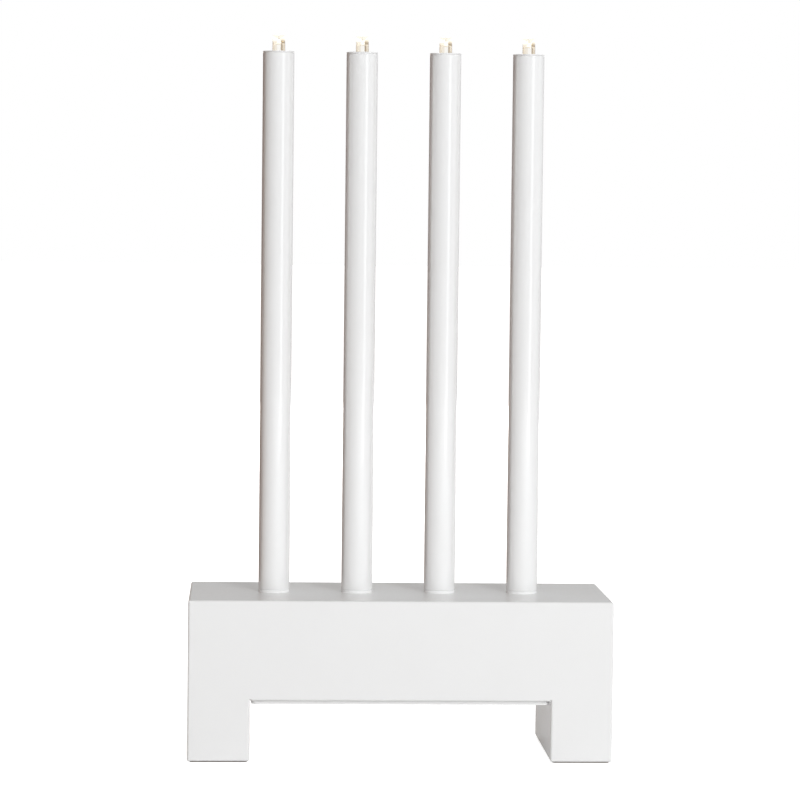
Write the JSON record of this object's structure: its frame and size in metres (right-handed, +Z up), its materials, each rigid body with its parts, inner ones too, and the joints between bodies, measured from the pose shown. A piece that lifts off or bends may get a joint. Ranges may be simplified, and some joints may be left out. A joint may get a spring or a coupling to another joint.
{
  "type": "advent candle holder",
  "caption": "Battery candle holder: slim white tubes with clear lamps at their tips, in a row on a white bridge-shaped base with felt-padded feet.",
  "frame": {"origin": "centre of the rectangle that the base stands on, at the level of the surface under the felt pads", "axes": "+Z up along the candle tubes, +X to the right seen from the front, +Y to the back; the front faces -Y"},
  "size_m": [0.161, 0.061, 0.2751],
  "materials": {
    "painted_board": "board painted satin white",
    "felt": "thin pressed felt",
    "tube_paint": "semi-gloss white paint",
    "foot_paint": "semi-gloss white paint",
    "cap_plastic": "moulded, white",
    "clear_lamp": "clear cast resin, lit warm white",
    "lead_metal": "tinned",
    "zinc": "zinc plated",
    "cover_plastic": "moulded, white, fine texture",
    "cell_wrap": "printed sleeve, plain grey",
    "contact_metal": "nickel plated",
    "switch_can": "tinned sheet",
    "knob_plastic": "moulded, black",
    "circuit_board": "green solder mask",
    "chip_plastic": "moulded, black",
    "resistor_body": "lacquered",
    "red_insulation": "soft sleeve",
    "black_insulation": "soft sleeve"
  },
  "bodies": {
    "holder": {"front_board": "painted_board", "back_board": "painted_board", "top_board": "painted_board", "left_end_board": "painted_board", "right_end_board": "painted_board", "left_foot_block": "painted_board", "right_foot_block": "painted_board", "left_felt_pad": "felt", "right_felt_pad": "felt", "tube_1": "tube_paint", "tube_2": "tube_paint", "tube_3": "tube_paint", "tube_4": "tube_paint", "tube_foot_1": "foot_paint", "tube_foot_2": "foot_paint", "tube_foot_3": "foot_paint", "tube_foot_4": "foot_paint", "lamp_cap_1": "cap_plastic", "lamp_cap_2": "cap_plastic", "lamp_cap_3": "cap_plastic", "lamp_cap_4": "cap_plastic", "lamp_lens_1": "clear_lamp", "lamp_lens_2": "clear_lamp", "lamp_lens_3": "clear_lamp", "lamp_lens_4": "clear_lamp", "lamp_lead_frame_1": "lead_metal", "lamp_lead_frame_2": "lead_metal", "lamp_lead_frame_3": "lead_metal", "lamp_lead_frame_4": "lead_metal", "tube_nuts": "zinc", "tube_washers": "zinc", "bottom_cover": "cover_plastic", "cover_screws": "zinc", "front_cell": "cell_wrap", "rear_cell": "cell_wrap", "bridge_contact": "contact_metal", "positive_contact": "contact_metal", "negative_contact": "contact_metal", "front_spring": "contact_metal", "rear_spring": "contact_metal", "switch_housing": "switch_can", "control_board": "circuit_board", "timer_chip": "chip_plastic", "lamp_resistors": "resistor_body", "board_screws": "zinc", "red_wires": "red_insulation", "black_wires": "black_insulation"},
    "battery_lid": {"battery_lid": "cover_plastic"},
    "switch_knob": {"switch_knob": "knob_plastic"}
  },
  "joints": [
    {"name": "lid_slide", "type": "slide", "parent": "holder", "child": "battery_lid", "axis": [0, 1, 0], "range_m": [0, 0.048]},
    {"name": "switch_slide", "type": "slide", "parent": "holder", "child": "switch_knob", "axis": [1, 0, 0], "range_m": [0, 0.004]}
  ]
}
